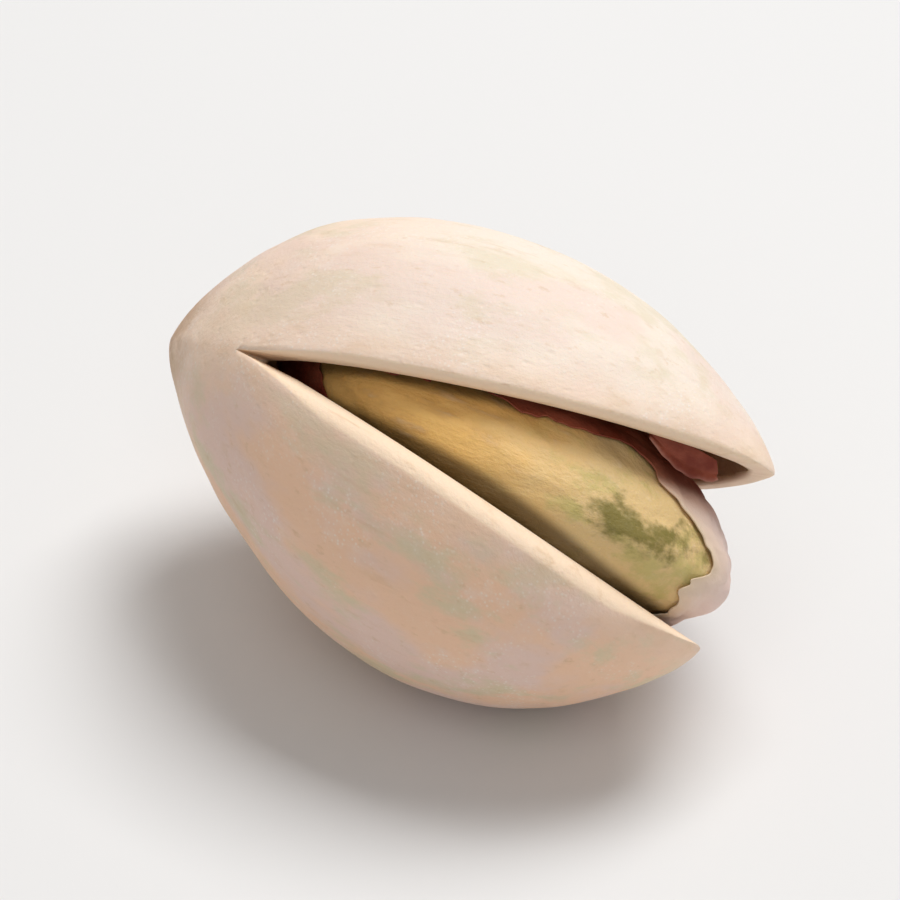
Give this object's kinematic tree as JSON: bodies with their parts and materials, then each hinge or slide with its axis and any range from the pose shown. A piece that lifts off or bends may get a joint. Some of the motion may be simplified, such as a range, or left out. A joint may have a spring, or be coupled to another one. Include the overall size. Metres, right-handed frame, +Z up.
{
  "type": "pistachio in shell",
  "caption": "Whole pistachio lying on its side: a pale hard shell split open like a beak, with the green kernel and its torn papery skin showing inside.",
  "frame": {"origin": "on the surface the nut rests on, below the centre of its bounding box", "axes": "+X along the nut from its stem end to its open tips, +Z up, and -Y towards the side that the split faces"},
  "size_m": [0.02, 0.0134, 0.0131],
  "materials": {
    "shell": "dry, matte, pale cream with salt dust, tan mottling and a stained stem end",
    "kernel": "slightly oily, golden tan to olive green, finely wrinkled",
    "skin": "papery, dry, pinkish mauve to reddish brown, wrinkled"
  },
  "bodies": {
    "root": {"shell": "shell", "kernel": "kernel", "kernel_skin": "skin", "skin_flake": "skin"}
  },
  "joints": []
}
